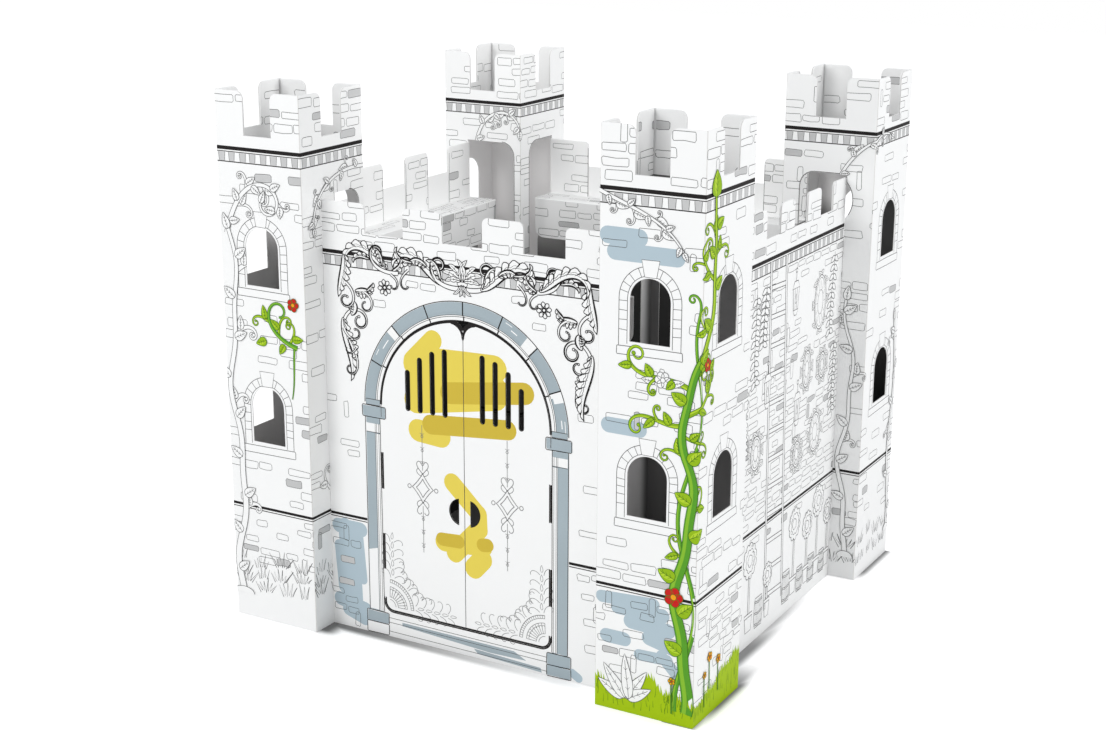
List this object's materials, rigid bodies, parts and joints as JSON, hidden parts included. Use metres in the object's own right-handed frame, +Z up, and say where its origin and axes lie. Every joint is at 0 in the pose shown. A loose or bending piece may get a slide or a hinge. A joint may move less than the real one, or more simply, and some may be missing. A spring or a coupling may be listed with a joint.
{
  "type": "card play castle",
  "caption": "Folded and die-cut card play castle: square corner towers with arched windows, walls with battlements, inner ledges and an arched double door.",
  "frame": {"origin": "bottom centre of the whole castle, on the surface it stands on", "axes": "+Z up, the gate looks to -Y, +X to the right seen from the gate"},
  "size_m": [1.14, 1.105, 1.185],
  "materials": {
    "card": "matte white coated card, printed outlines"
  },
  "bodies": {
    "root": {"tower_front_left": "card", "tower_front_right": "card", "tower_back_right": "card", "tower_back_left": "card", "front_wall": "card", "right_wall": "card", "back_wall": "card", "left_wall": "card"}
  },
  "joints": []
}
